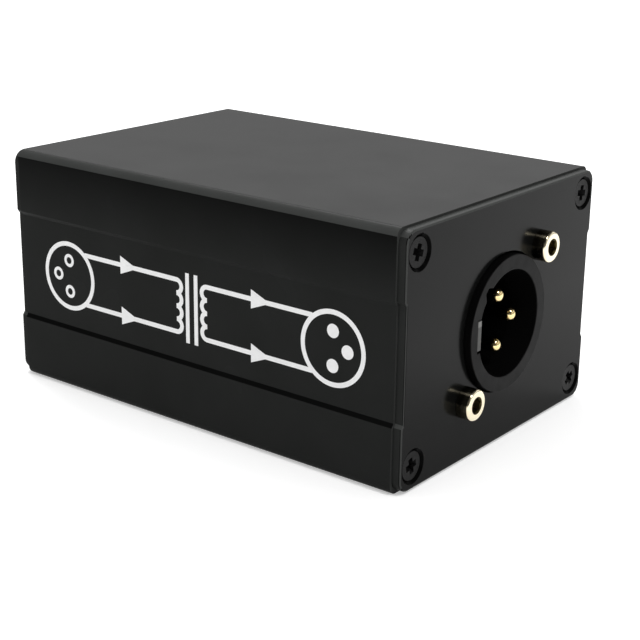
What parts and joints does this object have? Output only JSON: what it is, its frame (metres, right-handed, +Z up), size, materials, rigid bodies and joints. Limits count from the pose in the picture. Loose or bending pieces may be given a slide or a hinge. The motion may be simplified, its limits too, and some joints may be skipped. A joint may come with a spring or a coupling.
{
  "type": "ground loop isolator",
  "caption": "Passive audio ground loop isolator: black extruded case, male pin socket on one end, female socket on the other, transformer on a board inside.",
  "frame": {"origin": "middle of the underside of the case", "axes": "+X along the case towards the end with the male socket, +Z up, the long side with the graphic faces -Y"},
  "size_m": [0.095, 0.06, 0.0445],
  "materials": {
    "case": "black anodised, fine satin",
    "end_plate": "black anodised, fine satin",
    "corner_screw": "black oxide",
    "cap_screw": "pale gold plating",
    "socket_plastic": "moulded, fine texture",
    "catch_plate": "nickel plated",
    "contact": "gold plated",
    "board": "green solder mask",
    "core": "stacked laminations",
    "bobbin": "natural nylon",
    "winding": "enamelled copper wire",
    "tinned": "tinned",
    "print": "white screen print"
  },
  "bodies": {
    "root": {"case_body": "case", "male_end_plate": "end_plate", "female_end_plate": "end_plate", "male_corner_screw_1": "corner_screw", "male_corner_screw_2": "corner_screw", "male_corner_screw_3": "corner_screw", "male_corner_screw_4": "corner_screw", "female_corner_screw_1": "corner_screw", "female_corner_screw_2": "corner_screw", "female_corner_screw_3": "corner_screw", "female_corner_screw_4": "corner_screw", "male_cap_screw_1": "cap_screw", "male_cap_screw_2": "cap_screw", "female_cap_screw_1": "cap_screw", "female_cap_screw_2": "cap_screw", "male_housing": "socket_plastic", "male_catch_plate": "catch_plate", "male_pin_1": "contact", "male_pin_2": "contact", "male_pin_3": "contact", "female_housing": "socket_plastic", "contact_carrier": "socket_plastic", "female_contact_1": "contact", "female_contact_2": "contact", "female_contact_3": "contact", "circuit_board": "board", "transformer_core_e": "core", "transformer_core_i": "core", "transformer_bobbin": "bobbin", "primary_winding": "winding", "secondary_winding": "winding", "terminal_1": "tinned", "terminal_2": "tinned", "terminal_3": "tinned", "terminal_4": "tinned", "terminal_5": "tinned", "terminal_6": "tinned", "transformer_clamp": "tinned"}
  },
  "joints": []
}
